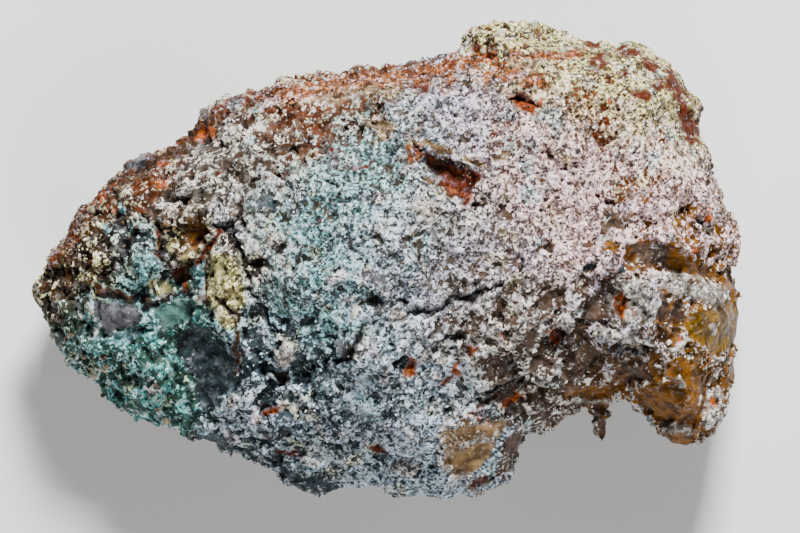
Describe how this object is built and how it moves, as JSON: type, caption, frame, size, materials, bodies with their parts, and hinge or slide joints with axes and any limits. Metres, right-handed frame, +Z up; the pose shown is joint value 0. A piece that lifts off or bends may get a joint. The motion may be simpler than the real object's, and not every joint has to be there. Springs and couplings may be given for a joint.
{
  "type": "rough moss agate specimen",
  "caption": "Rough broken lump of moss agate: pale pitted crust with rust pockets over amber chalcedony, lying on its back fracture.",
  "frame": {"origin": "in the plane the stone rests on, under the middle of its outer box", "axes": "+X along the length to the blunt amber end, +Y across to the rust-stained long edge, +Z up out of the best face"},
  "size_m": [0.0888, 0.0604, 0.0367],
  "materials": {
    "agate_crust": "rough, finely pitted pale crust stained with rust, glassy on the amber breaks"
  },
  "bodies": {
    "root": {"moss_agate": "agate_crust"}
  },
  "joints": []
}
